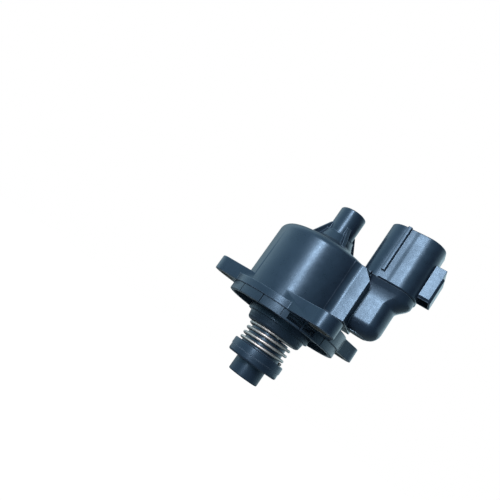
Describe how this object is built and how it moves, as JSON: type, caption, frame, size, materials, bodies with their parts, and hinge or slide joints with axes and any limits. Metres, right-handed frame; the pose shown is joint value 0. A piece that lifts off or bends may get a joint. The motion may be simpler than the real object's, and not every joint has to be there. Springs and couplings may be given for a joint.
{
  "type": "idle air control valve",
  "caption": "Idle air control valve: a stepper motor in a black moulded body with a plug socket slides a sprung pintle in and out.",
  "frame": {"origin": "centre of the mounting face on the motor axis, where the flange meets the air passage body", "axes": "+Z along the motor axis towards the rear boss, +X towards the plug socket"},
  "size_m": [0.0715, 0.0497, 0.0759],
  "materials": {
    "body_plastic": "satin, fine moulded grain",
    "cap_plastic": "satin, fine moulded grain",
    "plated_steel": "zinc plated",
    "terminal_metal": "tin plated",
    "bobbin_plastic": "natural nylon",
    "copper_wire": "enamelled copper wire",
    "bright_steel": "bare bright steel",
    "bronze": "sintered bronze",
    "ferrite": "ground ferrite"
  },
  "bodies": {
    "valve_body": {"housing": "body_plastic", "front_cap": "cap_plastic", "limiter_1": "plated_steel", "limiter_2": "plated_steel", "limiter_3": "plated_steel", "terminal_1": "terminal_metal", "terminal_2": "terminal_metal", "terminal_3": "terminal_metal", "terminal_4": "terminal_metal", "terminal_5": "terminal_metal", "terminal_6": "terminal_metal", "stator_cup_1": "plated_steel", "stator_cup_2": "plated_steel", "stator_cup_3": "plated_steel", "stator_cup_4": "plated_steel", "bobbin_front": "bobbin_plastic", "bobbin_rear": "bobbin_plastic", "coil_front": "copper_wire", "coil_rear": "copper_wire", "bearing_outer": "bright_steel", "bearing_balls": "bright_steel", "rear_bush": "bronze"},
    "rotor": {"bearing_inner": "bright_steel", "rotor_magnet": "ferrite", "rotor_sleeve": "bobbin_plastic"},
    "pintle_set": {"lead_screw": "bright_steel", "pintle": "body_plastic", "spring": "bright_steel"}
  },
  "joints": [
    {"name": "rotor_spin", "type": "hinge", "parent": "valve_body", "child": "rotor", "pos_m": [0, 0, 0], "axis": [0, 0, 1], "range_deg": [0, 1576]},
    {"name": "pintle_slide", "type": "slide", "parent": "valve_body", "child": "pintle_set", "axis": [0, 0, 1], "range_m": [0, 0.007], "deforming": ["spring"]}
  ],
  "couplings": [
    {"joint": "rotor_spin", "follows": "pintle_slide", "rad_per_m": 3927}
  ]
}
